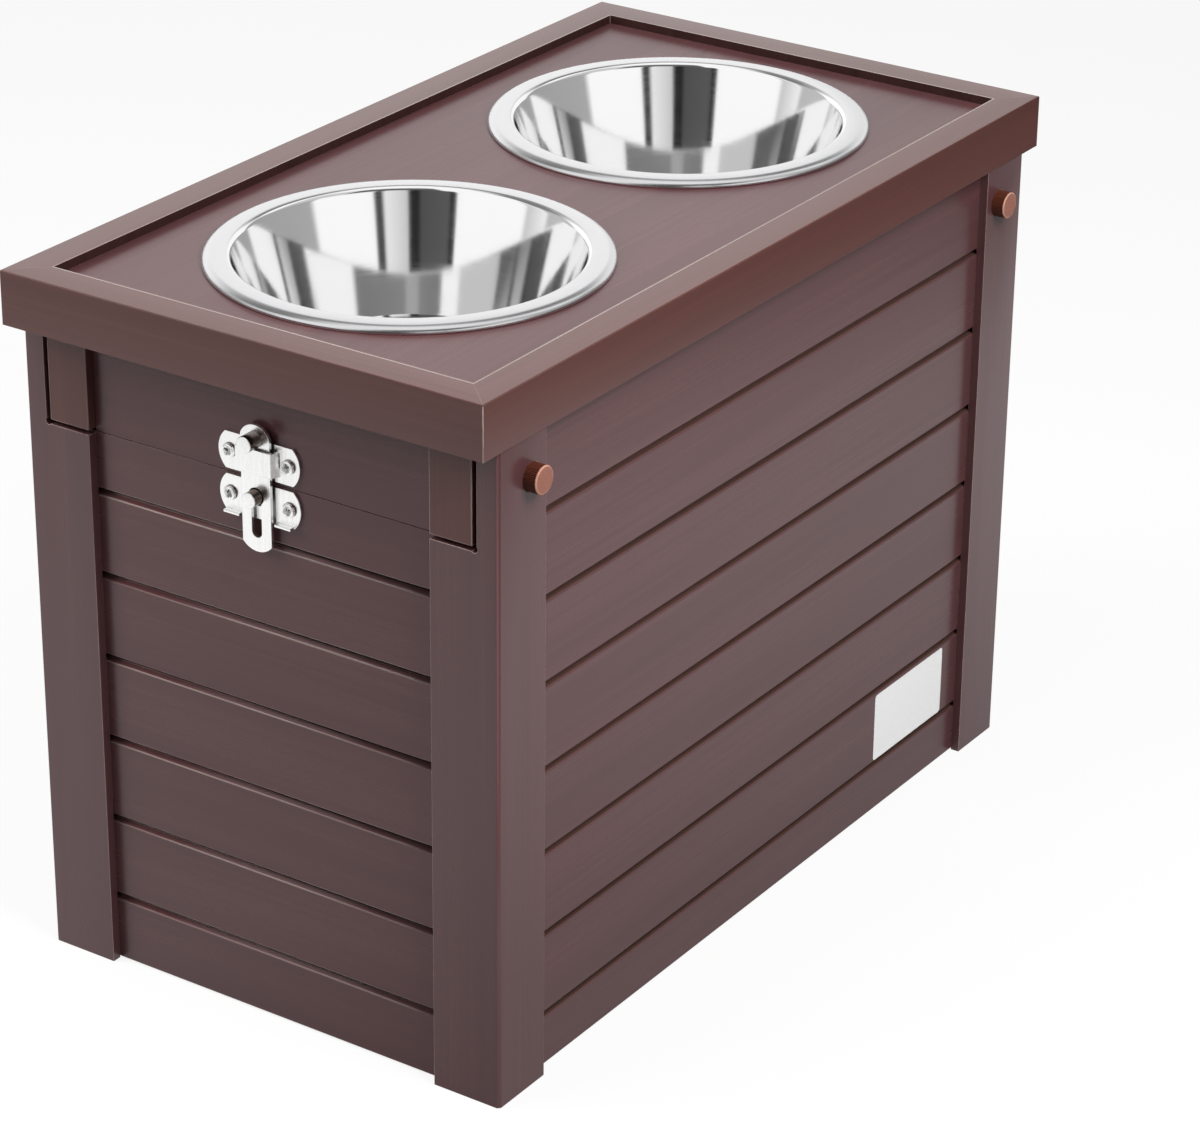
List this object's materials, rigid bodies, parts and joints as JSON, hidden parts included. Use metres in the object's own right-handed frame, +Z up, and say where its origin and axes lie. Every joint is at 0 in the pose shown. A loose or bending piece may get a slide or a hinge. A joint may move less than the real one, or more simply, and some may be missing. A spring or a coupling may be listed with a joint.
{
  "type": "elevated dog feeder",
  "caption": "Raised pet feeder: boarded storage box on corner posts, hinged frame lid that carries lift-out steel bowls, slide latch and pull-out pegs.",
  "frame": {"origin": "bottom centre of the bounding box, on the floor midway between the corner posts", "axes": "+X along the length, from the latch end to the hinge end; +Y across, from the front to the back; +Z up"},
  "size_m": [0.4344, 0.2504, 0.3177],
  "materials": {
    "board": "matt brown composite board with a fine brushed grain",
    "bowl_steel": "polished inside, satin rim",
    "latch_steel": "satin stainless steel",
    "peg_wood": "copper-brown dowel with paler sawn ends"
  },
  "bodies": {
    "cabinet": {"back_board_1": "board", "back_board_2": "board", "back_board_3": "board", "back_board_4": "board", "back_board_5": "board", "back_board_6": "board", "back_board_7": "board", "back_board_8": "board", "cabinet_screws": "latch_steel", "floor_battens": "board", "floor_panel": "board", "front_board_1": "board", "front_board_2": "board", "front_board_3": "board", "front_board_4": "board", "front_board_5": "board", "front_board_6": "board", "front_board_7": "board", "front_board_8": "board", "hinge_cabinet_leaves": "latch_steel", "hinge_end_board_1": "board", "hinge_end_board_2": "board", "hinge_end_board_3": "board", "hinge_end_board_4": "board", "hinge_end_board_5": "board", "hinge_end_board_6": "board", "hinge_end_board_7": "board", "hinge_pins": "latch_steel", "latch_end_board_1": "board", "latch_end_board_2": "board", "latch_end_board_3": "board", "latch_end_board_4": "board", "latch_end_board_5": "board", "latch_end_board_6": "board", "latch_end_board_7": "board", "latch_lower_plate": "latch_steel", "post_back_hinge_end": "board", "post_back_latch_end": "board", "post_front_hinge_end": "board", "post_front_latch_end": "board"},
    "lid": {"lid_apron_hinge_end": "board", "lid_apron_latch_end": "board", "lid_legs": "board", "lid_panel": "board", "lid_rail_back": "board", "lid_rail_front": "board", "lid_rail_hinge_end": "board", "lid_rail_latch_end": "board", "lid_screws": "latch_steel", "hinge_lid_leaves": "latch_steel", "latch_upper_plate": "latch_steel"},
    "latch_slide": {"latch_bar": "latch_steel", "latch_pull_knob": "latch_steel", "latch_slot_stud": "latch_steel"},
    "bowl_hinge_end": {"bowl_hinge_end": "bowl_steel"},
    "bowl_latch_end": {"bowl_latch_end": "bowl_steel"},
    "peg_back_hinge_end": {"peg_back_hinge_end": "peg_wood"},
    "peg_back_latch_end": {"peg_back_latch_end": "peg_wood"},
    "peg_front_hinge_end": {"peg_front_hinge_end": "peg_wood"},
    "peg_front_latch_end": {"peg_front_latch_end": "peg_wood"}
  },
  "joints": [
    {"name": "lid_hinge", "type": "hinge", "parent": "cabinet", "child": "lid", "pos_m": [0.2056, 0, 0.2501], "axis": [0, 1, 0], "range_deg": [0, 105]},
    {"name": "bowl_latch_end_lift", "type": "slide", "parent": "lid", "child": "bowl_latch_end", "axis": [0, 0, 1], "range_m": [0, 0.085]},
    {"name": "bowl_hinge_end_lift", "type": "slide", "parent": "lid", "child": "bowl_hinge_end", "axis": [0, 0, 1], "range_m": [0, 0.085]},
    {"name": "latch_slide_up", "type": "slide", "parent": "lid", "child": "latch_slide", "axis": [0, 0, 1], "range_m": [0, 0.0068]},
    {"name": "peg_back_hinge_end_pull", "type": "slide", "parent": "cabinet", "child": "peg_back_hinge_end", "axis": [0, 1, 0], "range_m": [0, 0.03]},
    {"name": "peg_back_latch_end_pull", "type": "slide", "parent": "cabinet", "child": "peg_back_latch_end", "axis": [0, 1, 0], "range_m": [0, 0.03]},
    {"name": "peg_front_hinge_end_pull", "type": "slide", "parent": "cabinet", "child": "peg_front_hinge_end", "axis": [0, -1, 0], "range_m": [0, 0.03]},
    {"name": "peg_front_latch_end_pull", "type": "slide", "parent": "cabinet", "child": "peg_front_latch_end", "axis": [0, -1, 0], "range_m": [0, 0.03]}
  ]
}
